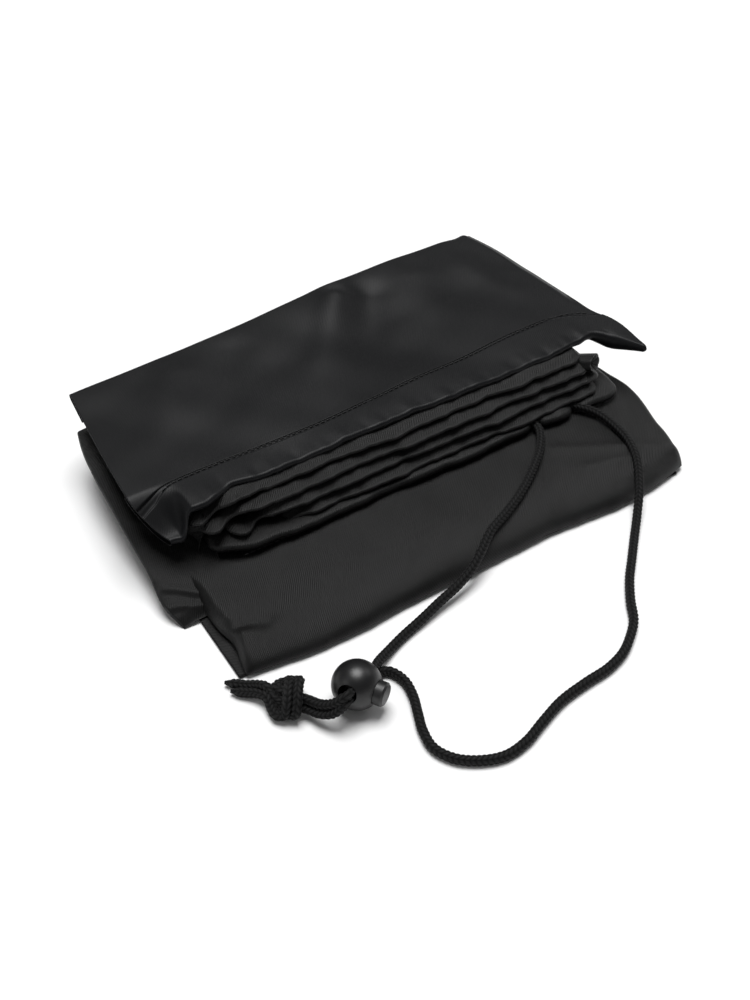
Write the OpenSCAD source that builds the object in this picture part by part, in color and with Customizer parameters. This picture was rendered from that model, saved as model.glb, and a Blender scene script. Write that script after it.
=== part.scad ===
// A drawstring bag of thin coated cloth, folded into a flat packet, with its cord, cord lock and knot.
// The origin is the bottom centre of the folded cloth. +X runs along the folds, +Y to the back, +Z up.

/* [Folded packet] */
// Length of the packet along its folds
packet_length = 254; // [248:1:262]
// Depth of the packet from its front fold to its back edge
packet_depth = 176; // [172:1:182]
// Height of the lower panel over the table
panel_height = 13; // [12:0.5:13]
// Thickness of one accordion fold
fold_thickness = 3.6; // [3:0.1:4]
// Thickness of a single laid layer of cloth
layer_thickness = 1.5; // [1:0.1:2]

/* [Hem and channel] */
// Width of the hem, front edge to stitch line
hem_width = 17; // [14:1:20]
// Thickness of the empty top hem
top_hem_thickness = 3.2; // [2.4:0.1:4]
// Thickness of the lower hem, which holds the cord
lower_hem_thickness = 6.4; // [6.2:0.1:7]
// Diameter of the channel that the cord runs in
channel_d = 4.8; // [4.6:0.1:5]
// Length of one stitch
stitch_length = 3; // [2:0.5:4]

/* [Drawstring] */
// Diameter of the braided cord
cord_d = 4.2; // [4:0.1:4.2]
// Diameter of the cord where the lock squeezes it
squeezed_d = 3.2; // [3:0.1:3.2]

/* [Cord lock] */
// Diameter of the ball
ball_d = 20; // [20:0.5:21]
// Diameter of the plunger
plunger_d = 9.8; // [9.4:0.1:9.8]
// Travel of the plunger when it is pressed
travel = 3; // [2.5:0.1:3]
// Diameter of the hole that both strands pass
cord_hole_d = 7.8; // [7.8:0.1:8]
// Diameter of the spring wire
wire_d = 0.5; // [0.4:0.05:0.6]

/* [Hidden] */
$fn = 48;

cloth_dark = [0.07, 0.07, 0.08];
cloth_cool = [0.11, 0.11, 0.13];
cord_black = [0.04, 0.04, 0.04];
moulded_black = [0.09, 0.09, 0.09];
spring_steel = [0.62, 0.62, 0.64];

half_length = packet_length / 2;
half_depth = packet_depth / 2;
gap = 0.1;

// The back edge runs slightly askew: it is nearer on the left.
back_skew = 0.056;
back_corner_x = half_length - 18;
function back_y(x, inset) = half_depth - inset - back_skew * (back_corner_x - min(x, back_corner_x));

// Layers of the packet, from the table up
panel_z = layer_thickness + 5;
folds_z = panel_height + lower_hem_thickness;
second_z = folds_z + 4 * fold_thickness;
top_z = second_z + layer_thickness;

// Fronts of the stacked folds: each one lies a little further back than the one below it.
lower_hem_front = -half_depth + 54;
fold_step = 1.9;
top_hem_front = -half_depth + 66;
stack_left = -half_length + 26;
stack_right = half_length - 26;
front_roll_r = 4.5;

// The channel in the lower hem, and its two mouths
short_exit_x = 61;
long_exit_x = 84;
channel_y = lower_hem_front + 8;
channel_z = panel_height + lower_hem_thickness / 2;
mouth_y = lower_hem_front - gap;

// The cord lock: its X axis is the plunger's, and both strands run along its Y axis.
lock_pos = [-86, -118.5, 10];
lock_turn = -57;
hole_tilt = 24;
flat_x = 8.4;
plunger_tip = 12.5;
plunger_end = -3;
bore_end = -6.2;
pocket_end = -8.6;
pocket_d = 6.6;
spring_d = 5.4;
spring_turns = 4;
strand_x = travel / 2;
strand_z = squeezed_d / 2 + 0.05;
strand_end = 10;

// A point given along the lock's own axes, in the frame of the packet
function lock_point(p) = let (
        y = p.y * cos(hole_tilt) + p.z * sin(hole_tilt),
        z = p.z * cos(hole_tilt) - p.y * sin(hole_tilt)
    ) lock_pos + [p.x * cos(lock_turn) - y * sin(lock_turn), p.x * sin(lock_turn) + y * cos(lock_turn), z];
module at_lock() {
    translate(lock_pos)
        rotate([-hole_tilt, 0, lock_turn])
            children();
}

// Where a strand meets its squeezed run in the lock: it leaves square to that run's end.
// side is 1 at the hem's end and -1 at the knot's, and level is 1 for the upper strand.
lead = 1.8;
function lock_end(side, level) = lock_point([strand_x, side * (strand_end + gap), level * strand_z]);
function lock_lead(side, level) = lock_point([strand_x, side * (strand_end + gap + lead), level * strand_z]);

// Routes of the free cord, from the hem to the lock, and from the lock to the knot and its tails
short_route = [
    [short_exit_x, mouth_y, channel_z], [61, -40, 15.8], [54, -50, 15.4], [41, -61, 15.1], [29, -69, 14.5],
    [17, -75, 13.7], [5, -80, 12.7], [-4, -86, 10.9], [-12, -90.5, 8.3], [-21, -93.5, 6], [-32, -96, 4.2],
    [-43, -99, 2.8], [-54, -102, 2.1], [-63, -105.5, 2.4], [-70.5, -109.5, 4.4],
    lock_lead(1, 1), lock_end(1, 1)
];
long_route = [
    [long_exit_x, mouth_y, channel_z], [88, -38, 15.9], [92, -45, 15.4], [93, -55, 15.3], [92, -67, 14.6],
    [88, -78, 13.1], [80, -90, 9], [71, -100, 3.8], [62, -109, 2.1], [53, -118, 2.1], [45, -126, 2.1],
    [37, -136, 2.1], [31, -145, 2.1], [24, -151, 2.1], [16, -156, 2.1], [6, -159, 2.1], [-6, -160, 2.1],
    [-20, -162, 2.1], [-32, -166, 2.1], [-43, -170, 2.1], [-53, -171, 2.1], [-62, -168, 2.1],
    [-70, -162, 2.1], [-74, -154, 2.1], [-73, -145, 2.1], [-70, -137, 2.1], [-67, -129, 2.1],
    [-66, -121, 2.1], [-68.5, -114.5, 2.1], [-73, -112.6, 2.4],
    lock_lead(1, -1), lock_end(1, -1)
];
upper_twin_route = [
    lock_end(-1, 1), lock_lead(-1, 1), [-95.8, -125.2, 14.8], [-99.6, -123.4, 12],
    [-101.8, -119.4, 9.4], [-103.2, -114.8, 7.8], [-104.8, -110.6, 7]
];
lower_twin_route = [
    lock_end(-1, -1), lock_lead(-1, -1), [-96.6, -127.2, 10.2], [-100.2, -126.6, 7],
    [-104, -123, 4.6], [-106.8, -117.6, 3.4], [-108.2, -112.8, 3.2]
];
knot_pos = [-110, -107, 5.6];
long_tail_route = [[-115.4, -102.6, 3.6], [-118.8, -98.4, 2.6], [-121.6, -94.8, 2.1], [-124, -92, 2.1]];
short_tail_route = [[-110.6, -99.4, 4.2], [-112.4, -95.4, 2.6], [-114.6, -91.6, 2.1]];

// Sweeps a round section along a list of points, with one radius for each of them.
// across is a direction that the route never follows.
function unit(v) = v / norm(v);
function heading(p, i) = unit(p[min(i + 1, len(p) - 1)] - p[max(i - 1, 0)]);
function ring(c, t, across, r, sides) = let (
        u = unit(cross(t, across)),
        v = cross(u, t)
    ) [for (k = [0 : sides - 1]) c + r * (cos(360 * k / sides) * u + sin(360 * k / sides) * v)];
module sweep(points, radius, across = [0, 0, 1], sides = 10) {
    last = len(points) - 1;
    rings = [for (i = [0 : last]) ring(points[i], heading(points, i), across, radius[i], sides)];
    walls = [for (i = [0 : last - 1], k = [0 : sides - 1]) let (
            a = i * sides + k,
            b = i * sides + (k + 1) % sides
        ) each [[a, b, b + sides], [a, b + sides, a + sides]]];
    start_cap = [for (k = [sides - 1 : -1 : 0]) k];
    end_cap = [for (k = [0 : sides - 1]) last * sides + k];
    polyhedron(points = [for (r = rings) each r], faces = concat(walls, [start_cap, end_cap]), convexity = 8);
}

// A cord along a route. start_d and end_d are its diameters at the two ends.
module cord(route, start_d = cord_d, end_d = cord_d) {
    last = len(route) - 1;
    color(cord_black)
        sweep(route, [for (i = [0 : last]) (i == 0 ? start_d : i == last ? end_d : cord_d) / 2]);
}

// One folded layer: a flat body with a round fold along its front
module folded_layer(left, right, front, z, t, inset) {
    translate([0, 0, z])
        linear_extrude(t - gap)
            polygon([[left, front + t / 2], [right, front + t / 2],
                [right, back_y(right, inset)], [left, back_y(left, inset)]]);
    translate([left, front + t / 2, z + (t - gap) / 2])
        rotate([0, 90, 0])
            cylinder(d = t - gap, h = right - left);
}

// A row of stitches that lies on a level face
module stitches(from, to, z) {
    run = to - from;
    count = floor(norm(run) / (stitch_length * 1.4));
    color(cord_black)
        for (i = [0 : count - 1])
            translate([from.x + run.x * (i + 0.5) / count, from.y + run.y * (i + 0.5) / count, z])
                rotate([0, 0, atan2(run.y, run.x)])
                    translate([-stitch_length / 2, -0.3, 0])
                        cube([stitch_length, 0.6, 0.4]);
}

// The layer on the table: its front and left edges show below the lower panel.
module bottom_layer() {
    color(cloth_dark)
        linear_extrude(layer_thickness - gap)
            polygon([[-half_length + 7, -half_depth + 9.4], [half_length - 20, -half_depth + 9.4],
                [half_length - 8, -half_depth + 50], [half_length - 10, back_y(half_length, 8)],
                [-half_length + 7, back_y(-half_length, 8)]]);
}

// The layer that shows along the left, with a blunt corner at its front
module left_under_layer() {
    color(cloth_dark)
        translate([0, 0, layer_thickness])
            linear_extrude(panel_z - layer_thickness - gap)
                polygon([[-half_length + 4, -half_depth + 38], [-half_length + 14, -half_depth + 41],
                    [half_length - 60, -half_depth + 41], [half_length - 60, back_y(half_length - 60, 4)],
                    [-half_length + 6, back_y(-half_length, 4)], [-half_length, half_depth - 50],
                    [-half_length, -half_depth + 44]]);
}

// The lower leaf of the front fold, turned back under the panel
module panel_return() {
    color(cloth_dark)
        translate([0, 0, layer_thickness])
            linear_extrude(panel_z - layer_thickness - gap - 0.3)
                polygon([[-half_length + 10, -half_depth + 9.4], [half_length - 18, -half_depth + 9.4],
                    [half_length - 10, -half_depth + 36], [-half_length + 14, -half_depth + 36]]);
}

// The lower panel: its rolled front fold, and the flat part that runs back under the stack
module front_panel() {
    color(cloth_cool)
        intersection() {
            linear_extrude(panel_height)
                polygon([[-half_length + 9, -half_depth], [half_length - 14, -half_depth],
                    [half_length - 8, -half_depth + 28], [half_length, -half_depth + 52],
                    [half_length, -half_depth + 59], [half_length - 9, back_y(half_length, 8)],
                    [-half_length + 10, back_y(-half_length, 10)]]);
            translate([-half_length, 0, 0])
                rotate([90, 0, 90])
                    linear_extrude(packet_length)
                        union() {
                            translate([-half_depth + front_roll_r, front_roll_r])
                                circle(r = front_roll_r);
                            polygon([[-half_depth + front_roll_r, 2 * front_roll_r], [-half_depth + 12, panel_height - 2],
                                [-half_depth + 30, panel_height - gap], [half_depth, panel_height - gap],
                                [half_depth, panel_z], [-half_depth + front_roll_r, panel_z]]);
                        }
        }
}

// The hem at the bag's mouth that holds the cord: a channel with two openings in its front fold
module lower_hem() {
    color(cloth_cool)
        difference() {
            folded_layer(stack_left, stack_right + 5, lower_hem_front, panel_height, lower_hem_thickness, 16);
            translate([stack_left - 1, channel_y, channel_z])
                rotate([0, 90, 0])
                    cylinder(d = channel_d, h = packet_length);
            for (x = [short_exit_x, long_exit_x])
                translate([x, channel_y, channel_z])
                    rotate([90, 0, 0])
                        cylinder(d = channel_d, h = 20);
        }
}

module lower_hem_stitching() {
    y = lower_hem_front - 3;
    stitches([stack_left + 6, y], [stack_right, y], panel_height - gap);
}

module accordion_fold(i) {
    color(i % 2 == 0 ? cloth_dark : cloth_cool)
        folded_layer(stack_left + 1.5 * i, stack_right - 1.5 * i, lower_hem_front + fold_step * i,
            folds_z + (i - 1) * fold_thickness, fold_thickness, 14 - i);
}

// The round ends of the folds, gathered at the left end of the stack
module left_fold_ends() {
    color(cloth_dark)
        for (i = [0 : 2])
            translate([stack_left - 6.5 + 0.6 * i, lower_hem_front + 5 + 9 * i, panel_height])
                cylinder(d = 8, h = lower_hem_thickness + (i + 1) * fold_thickness);
}

module right_fold_end() {
    color(cloth_cool)
        translate([stack_right + 1, top_hem_front + 3, folds_z + 2 * fold_thickness])
            cylinder(d = 8, h = 2 * fold_thickness - gap);
}

// The layer just under the top panel: it shows at the back left corner.
module second_panel() {
    color(cloth_dark)
        translate([0, 0, second_z])
            linear_extrude(layer_thickness - gap)
                polygon([[-half_length + 12, top_hem_front + 2], [stack_right, top_hem_front + 2],
                    [stack_right, back_y(stack_right, 6)], [-half_length + 3, back_y(-half_length, 2)],
                    [-half_length + 3, back_y(-half_length, 20)]]);
}

// The cloth that turns round the back of the stack
module back_wrap() {
    color(cloth_cool)
        translate([0, 0, panel_height])
            linear_extrude(second_z - panel_height - gap)
                polygon([[stack_left, back_y(stack_left, 8)], [stack_right - 8, back_y(stack_right - 8, 8)],
                    [stack_right - 8, back_y(stack_right - 8, 3)], [stack_left, back_y(stack_left, 3)]]);
}

module top_panel() {
    color(cloth_cool)
        translate([0, 0, top_z])
            linear_extrude(layer_thickness)
                polygon([[-half_length + 3, top_hem_front + hem_width], [half_length - 6, top_hem_front + hem_width],
                    [half_length - 7, half_depth - 64], [half_length - 12, half_depth - 21],
                    [back_corner_x, half_depth], [-half_length + 5, back_y(-half_length, 0)],
                    [-half_length, half_depth - 58]]);
}

module top_hem() {
    color(cloth_cool)
        translate([0, top_hem_front, top_z]) {
            translate([-half_length + 8, top_hem_thickness / 2, 0])
                cube([packet_length - 34, hem_width - top_hem_thickness / 2 - gap, top_hem_thickness]);
            translate([-half_length + 8, top_hem_thickness / 2, top_hem_thickness / 2])
                rotate([0, 90, 0])
                    cylinder(d = top_hem_thickness, h = packet_length - 34);
        }
}

// The free corner of the top hem, which points to the right front
module top_hem_ear() {
    color(cloth_cool)
        translate([half_length - 26 + gap, top_hem_front, top_z])
            linear_extrude(layer_thickness)
                polygon([[0, 0], [12, 0], [22, -17], [21, hem_width - gap], [0, hem_width - gap]]);
}

module top_hem_stitching() {
    y = top_hem_front + hem_width - 2;
    stitches([-half_length + 10, y], [half_length - 28, y], top_z + top_hem_thickness);
}

// The hidden runs of the cord in the channel: each turns out through its mouth.
module cord_in_channel_left() {
    cord([[stack_left + 8, channel_y, channel_z], [short_exit_x - 20, channel_y, channel_z],
        [short_exit_x, channel_y, channel_z], [short_exit_x, lower_hem_front, channel_z]]);
}
module cord_in_channel_right() {
    cord([[stack_right, channel_y, channel_z], [long_exit_x, channel_y, channel_z],
        [long_exit_x, lower_hem_front, channel_z]]);
}

module short_strand() {
    cord(short_route, end_d = squeezed_d);
}
module long_strand() {
    cord(long_route, end_d = squeezed_d);
}
module upper_twin() {
    cord(upper_twin_route, start_d = squeezed_d);
}
module lower_twin() {
    cord(lower_twin_route, start_d = squeezed_d);
}

// Both strands where they pass the lock side by side
module strands_in_lock() {
    color(cord_black)
        at_lock()
            for (z = [-strand_z, strand_z])
                translate([strand_x, strand_end, z])
                    rotate([90, 0, 0])
                        cylinder(d = squeezed_d, h = 2 * strand_end);
}

// The two ends of the cord, tied together in one overhand knot
module knot() {
    color(cord_black)
        translate(knot_pos)
            hull() {
                translate([-3.5, 2, -0.4])
                    sphere(d = 10, $fn = 24);
                translate([3, -1.5, 0])
                    sphere(d = 10.8, $fn = 24);
                translate([-1, -4, -0.4])
                    sphere(d = 9.6, $fn = 24);
            }
}
module long_tail() {
    cord(long_tail_route, end_d = 1.6);
}
module short_tail() {
    cord(short_tail_route, end_d = 1.6);
}

// The ball: a flat face round the plunger's bore, a pocket for the spring, and the cross hole
module lock_body() {
    bore_r = plunger_d / 2 + gap;
    color(moulded_black)
        at_lock()
            difference() {
                rotate([0, 90, 0])
                    rotate_extrude($fn = 96)
                        difference() {
                            intersection() {
                                circle(d = ball_d);
                                translate([0, -ball_d / 2])
                                    square([ball_d / 2, ball_d / 2 + flat_x]);
                            }
                            translate([-1, bore_end])
                                square([bore_r + 1, ball_d]);
                            translate([-1, pocket_end])
                                square([pocket_d / 2 + 1, ball_d]);
                        }
                translate([0, ball_d, 0])
                    rotate([90, 0, 0])
                        cylinder(d = cord_hole_d, h = 2 * ball_d);
            }
}

// The plunger: its cross hole lines up with the ball's when it is pressed in.
module lock_plunger() {
    color(moulded_black)
        at_lock()
            difference() {
                union() {
                    translate([plunger_end, 0, 0])
                        rotate([0, 90, 0])
                            cylinder(d = plunger_d, h = plunger_tip - plunger_end - 0.8);
                    translate([plunger_tip - 0.8, 0, 0])
                        rotate([0, 90, 0])
                            cylinder(d1 = plunger_d, d2 = plunger_d - 1.6, h = 0.8);
                }
                translate([travel, ball_d, 0])
                    rotate([90, 0, 0])
                        cylinder(d = cord_hole_d, h = 2 * ball_d);
            }
}

module lock_spring() {
    steps = 14 * spring_turns;
    reach = plunger_end - pocket_end - wire_d - 2 * gap;
    centre_r = (spring_d - wire_d) / 2;
    helix = [for (i = [0 : steps]) let (a = 360 * spring_turns * i / steps)
        [pocket_end + gap + wire_d / 2 + reach * i / steps, centre_r * cos(a), centre_r * sin(a)]];
    color(spring_steel)
        at_lock()
            sweep(helix, [for (p = helix) wire_d / 2], [1, 0, 0], 8);
}

bottom_layer();
left_under_layer();
panel_return();
front_panel();
lower_hem();
lower_hem_stitching();
accordion_fold(1);  // accordion_fold_1
accordion_fold(2);  // accordion_fold_2
accordion_fold(3);  // accordion_fold_3
accordion_fold(4);  // accordion_fold_4
left_fold_ends();
right_fold_end();
second_panel();
back_wrap();
top_panel();
top_hem();
top_hem_ear();
top_hem_stitching();
cord_in_channel_left();
cord_in_channel_right();
short_strand();
long_strand();
strands_in_lock();
upper_twin();
lower_twin();
knot();
long_tail();
short_tail();
lock_body();
lock_plunger();
lock_spring();
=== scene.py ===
import math

import bpy
import numpy as np
from bpy.props import FloatProperty, FloatVectorProperty, IntProperty, PointerProperty
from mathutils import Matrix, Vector


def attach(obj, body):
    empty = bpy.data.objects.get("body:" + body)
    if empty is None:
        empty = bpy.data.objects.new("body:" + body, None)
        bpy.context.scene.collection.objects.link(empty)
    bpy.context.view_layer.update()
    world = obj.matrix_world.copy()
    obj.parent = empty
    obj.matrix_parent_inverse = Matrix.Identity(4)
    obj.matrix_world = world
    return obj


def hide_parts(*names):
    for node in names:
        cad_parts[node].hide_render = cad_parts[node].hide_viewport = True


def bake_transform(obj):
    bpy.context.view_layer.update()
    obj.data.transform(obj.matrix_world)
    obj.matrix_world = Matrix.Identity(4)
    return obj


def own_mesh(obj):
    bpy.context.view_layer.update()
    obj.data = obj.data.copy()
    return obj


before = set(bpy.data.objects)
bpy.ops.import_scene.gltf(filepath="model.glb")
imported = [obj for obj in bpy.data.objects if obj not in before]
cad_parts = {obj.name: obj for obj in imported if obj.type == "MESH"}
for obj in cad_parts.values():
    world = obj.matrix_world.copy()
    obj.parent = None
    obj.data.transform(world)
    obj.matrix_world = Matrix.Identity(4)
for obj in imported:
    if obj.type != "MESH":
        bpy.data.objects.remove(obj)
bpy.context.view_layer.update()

bl_info = {
    "name": "Folded Drawstring Bag",
    "version": (1, 0, 0),
    "blender": (4, 5, 0),
    "location": "View3D > Sidebar > Bag",
    "description": "Folded coated cloth, braided drawstring, knot and ball cord lock over a packed frame",
    "category": "Add Mesh",
}

MM = 0.001
PACKET = "packet"
LOCK = "lock"


# ---------------------------------------------------------------- properties

class BagCloth(bpy.types.PropertyGroup):
    """Sizes and colours of the coated cloth"""
    tint: FloatVectorProperty(
        name="Cloth colour", description="Colour of the coated face", subtype="COLOR",
        size=3, default=(0.0034, 0.0036, 0.0042), min=0.0, max=1.0)
    inner_tint: FloatVectorProperty(
        name="Inner colour", description="Colour of the woven face", subtype="COLOR",
        size=3, default=(0.0036, 0.0036, 0.0036), min=0.0, max=1.0)
    weave: FloatProperty(
        name="Weave pitch", description="Distance between two twill ridges", subtype="DISTANCE",
        default=0.8 * MM, min=0.2 * MM, max=4 * MM)
    thickness: FloatProperty(
        name="Cloth thickness", description="Thickness of one layer of cloth", subtype="DISTANCE",
        default=0.34 * MM, min=0.1 * MM, max=1 * MM)
    stitch: FloatProperty(
        name="Stitch length", description="Length of one stitch of the hem seam", subtype="DISTANCE",
        default=2.9 * MM, min=1 * MM, max=6 * MM)


class BagCord(bpy.types.PropertyGroup):
    """Sizes of the braided drawstring"""
    diameter: FloatProperty(
        name="Cord diameter", description="Diameter of the braided cord", subtype="DISTANCE",
        default=4.2 * MM, min=2 * MM, max=8 * MM)
    squeezed: FloatProperty(
        name="Squeezed diameter", description="Diameter of a strand inside the lock", subtype="DISTANCE",
        default=3.2 * MM, min=2 * MM, max=6 * MM)
    carriers: IntProperty(
        name="Yarn columns", description="Columns of yarn round the cord", default=6, min=4, max=16)
    stitch: FloatProperty(
        name="Braid step", description="Length of one crossing of the braid", subtype="DISTANCE",
        default=2.05 * MM, min=0.5 * MM, max=4 * MM)
    tint: FloatVectorProperty(
        name="Yarn colour", description="Colour of the cord's yarn", subtype="COLOR",
        size=3, default=(0.0042, 0.0042, 0.0043), min=0.0, max=1.0)


class BagStage(bpy.types.PropertyGroup):
    """Floor, light and camera"""
    azimuth: FloatProperty(
        name="Camera azimuth", description="Direction of the camera round the object", subtype="ANGLE",
        default=math.radians(-32))
    elevation: FloatProperty(
        name="Camera elevation", description="Angle of the camera above the floor", subtype="ANGLE",
        default=math.radians(43.5))
    distance: FloatProperty(
        name="Camera distance", description="Distance from the camera to its target", subtype="DISTANCE",
        default=571 * MM)
    floor: FloatVectorProperty(
        name="Floor colour", description="Colour of the floor", subtype="COLOR",
        size=3, default=(0.93, 0.93, 0.93), min=0.0, max=1.0)


# ---------------------------------------------------------------- shader maths

class Value:
    """A number in a material. Arithmetic on it adds Math nodes."""

    def __init__(self, finish, socket):
        self.finish = finish
        self.socket = socket

    def math(self, operation, *operands):
        node = self.finish.node("ShaderNodeMath", {"operation": operation}, dict(enumerate(operands)))
        return Value(self.finish, node.outputs[0])

    def sine(self):
        return self.math("SINE", self)

    def __add__(self, other):
        return self.math("ADD", self, other)

    def __sub__(self, other):
        return self.math("SUBTRACT", self, other)

    def __rsub__(self, other):
        return self.math("SUBTRACT", other, self)

    def __mul__(self, other):
        return self.math("MULTIPLY", self, other)

    def __pow__(self, other):
        return self.math("POWER", self, other)

    __radd__ = __add__
    __rmul__ = __mul__


def feed(tree, socket, value):
    """Link a socket of a node tree to another one, or set it to a constant"""
    if isinstance(value, Value):
        value = value.socket
    if isinstance(value, bpy.types.NodeSocket):
        tree.links.new(value, socket)
    else:
        socket.default_value = value


def add_node(tree, kind, settings=None, inputs=None):
    """Add a node to a tree: its settings first, then the values or links of its sockets"""
    node = tree.nodes.new(kind)
    for key, value in (settings or {}).items():
        if key == "stops":
            for element, (position, colour) in zip(node.color_ramp.elements, value):
                element.position = position
                element.color = colour
        else:
            setattr(node, key, value)
    for key, value in (inputs or {}).items():
        feed(tree, node.inputs[key], value)
    return node


class Finish:
    """A material under construction, with a Principled shader at its end"""

    def __init__(self, name, **constants):
        self.material = bpy.data.materials.new(name)
        self.material.use_nodes = True
        self.tree = self.material.node_tree
        self.shader = self.tree.nodes["Principled BSDF"]
        self.set(**constants)

    def node(self, kind, settings=None, inputs=None):
        return add_node(self.tree, kind, settings, inputs)

    def value(self, kind, settings=None, inputs=None, output=0):
        return Value(self, self.node(kind, settings, inputs).outputs[output])

    def attribute(self, name, output):
        """A value or vector that the mesh stores at its points"""
        return self.node("ShaderNodeAttribute", {"attribute_name": name}).outputs[output]

    def place(self):
        """The place of a point in its object's own axes"""
        return self.node("ShaderNodeTexCoord").outputs["Object"]

    def noise(self, vector, scale, detail):
        return self.value("ShaderNodeTexNoise", {"noise_dimensions": "3D"},
                          {"Vector": vector, "Scale": scale, "Detail": detail, "Roughness": 0.5})

    def mix(self, factor, a, b):
        node = self.node("ShaderNodeMix", {"data_type": "RGBA"}, {0: factor, 6: a, 7: b})
        return node.outputs[2]

    def bump(self, height, distance):
        node = self.node("ShaderNodeBump", {}, {"Height": height, "Distance": distance, "Strength": 1.0})
        return node.outputs[0]

    def set(self, **sockets):
        """Feed the shader's sockets, named with _ for a space"""
        for socket, value in sockets.items():
            feed(self.tree, self.shader.inputs[socket.replace("_", " ")], value)
        return self.material


def rgba(colour, share=1.0):
    """A colour times a share, with full alpha"""
    return tuple(c * share for c in colour) + (1.0,)


def coated_cloth(name, shade, weave_depth, shine):
    """Thin twill with a satin coating: diagonal ridges, soft mottling, and a painted highlight along the
    crests and edges of the folds, which are also a little less rough
    """
    cloth = bpy.context.scene.bag_cloth
    finish = Finish(name, Specular_IOR_Level=shine, Sheen_Weight=0.01, Sheen_Roughness=0.4)
    flat = finish.attribute("cloth", "Vector")
    along = finish.node("ShaderNodeSeparateXYZ", {}, {0: flat})
    across, down = (Value(finish, along.outputs[i]) for i in (0, 1))
    turns = 2 * math.pi / cloth.weave
    twill = (0.62 * turns * across + 0.78 * turns * down).sine() * 0.5 + 0.5
    yarn = (1.9 * turns * across - 1.5 * turns * down).sine() * 0.5 + 0.5
    grain = finish.noise(flat, 900.0, 2.0)
    clouds = finish.noise(flat, 26.0, 4.0)
    # Share of painted highlight that each sheet stores at its points, on the crests and edges of its folds
    painted_highlight = Value(finish, finish.attribute("painted_light", "Fac"))
    tint = finish.mix(clouds, rgba(shade, 0.85), rgba(shade, 1.2))
    # Painted highlight: the colour rises towards 2.2 times the cloth colour where that share is high
    tint = finish.mix(painted_highlight * 0.5, tint, rgba(shade, 2.2))
    rough = 0.37 + 0.08 * clouds + 0.05 * grain - 0.05 * painted_highlight
    height = twill * 0.7 + yarn * 0.25 + grain * 0.25
    fine = finish.bump(height, weave_depth * MM)
    return finish.set(Base_Color=tint, Roughness=rough, Normal=fine)


def braided_yarn():
    """Dull black yarn with fine filaments: painted shade between the crossings and a painted highlight on
    their crowns
    """
    cord = bpy.context.scene.bag_cord
    finish = Finish("braided_yarn", Specular_IOR_Level=0.14, Sheen_Weight=0.03, Sheen_Roughness=0.5)
    flat = finish.attribute("cloth", "Vector")
    crown = Value(finish, finish.attribute("painted_light", "Fac"))
    filament = finish.noise(flat, 5200.0, 2.0)
    # Painted shade: a tenth of the yarn colour in the gaps; painted highlight: 3.4 times it on the crowns
    tint = finish.mix(crown ** 2.0, rgba(cord.tint, 0.10), rgba(cord.tint, 3.4))
    fine = finish.bump(filament, 0.12 * MM)
    return finish.set(Base_Color=tint, Roughness=0.72 - 0.14 * crown, Normal=fine)


def seam_thread():
    """Twisted sewing thread"""
    finish = Finish("seam_thread", Specular_IOR_Level=0.4)
    place = finish.place()
    twist = finish.noise(place, 2600.0, 2.0)
    tint = finish.mix(twist, (0.006, 0.006, 0.0065, 1), (0.02, 0.02, 0.021, 1))
    return finish.set(Base_Color=tint, Roughness=0.55 + 0.2 * twist, Normal=finish.bump(twist, 0.1 * MM))


def moulded_plastic(name, tint, roughness):
    """Injection-moulded plastic with a faint eggshell grain"""
    finish = Finish(name, Specular_IOR_Level=0.5)
    place = finish.place()
    grain = finish.noise(place, 3800.0, 2.0)
    smudge = finish.noise(place, 160.0, 3.0)
    colour = finish.mix(smudge, rgba(tint, 0.85), rgba(tint, 1.25))
    rough = roughness + 0.10 * smudge + 0.04 * grain
    return finish.set(Base_Color=colour, Roughness=rough, Normal=finish.bump(grain, 0.03 * MM))


def drawn_wire():
    """Bright steel wire with drawing marks"""
    finish = Finish("drawn_wire", Metallic=1.0)
    place = finish.place()
    marks = finish.noise(place, 2400.0, 2.0)
    colour = finish.mix(marks, (0.42, 0.42, 0.44, 1), (0.62, 0.62, 0.64, 1))
    return finish.set(Base_Color=colour, Roughness=0.28 + 0.2 * marks)


def floor_paint():
    """Pale matt floor"""
    finish = Finish("pale_floor", Specular_IOR_Level=0.1)
    place = finish.place()
    mottle = finish.noise(place, 30.0, 2.0)
    floor = bpy.context.scene.bag_stage.floor
    colour = finish.mix(mottle, rgba(floor, 0.995), rgba(floor))
    return finish.set(Base_Color=colour, Roughness=0.85 + 0.05 * mottle)


def cloth_smooth():
    return coated_cloth("cloth_smooth", bpy.context.scene.bag_cloth.tint, 0.035, 0.17)


def cloth_twill():
    return coated_cloth("cloth_twill", bpy.context.scene.bag_cloth.inner_tint, 0.13, 0.23)


def ball_plastic():
    return moulded_plastic("ball_plastic", (0.0048, 0.0048, 0.0052), 0.30)


def plunger_plastic():
    return moulded_plastic("plunger_plastic", (0.0058, 0.0058, 0.0062), 0.34)


MATERIALS_MADE = {}


def material(make):
    """The material that a function makes, made the first time that it is asked for"""
    if make not in MATERIALS_MADE:
        MATERIALS_MADE[make] = make().name
    return bpy.data.materials[MATERIALS_MADE[make]]


# ---------------------------------------------------------------- mesh tools

def wave(x, seed, lengths=(61.0, 27.0, 13.0), shares=(1.0, 0.55, 0.25)):
    """A smooth random-looking line of about unit height, the same on each run"""
    total = 0.0
    for i, (length, share) in enumerate(zip(lengths, shares)):
        phase = 1.7 * seed + 2.3 * i * seed + i
        total = total + share * np.sin(2 * np.pi * x / length + phase)
    return total / sum(shares)


def bump(t, centre, width):
    """A smooth hump of unit height"""
    return np.exp(-((t - centre) / width) ** 2)


def ease(t):
    """A smooth step from 0 to 1"""
    t = np.clip(t, 0, 1)
    return t * t * (3 - 2 * t)


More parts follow.
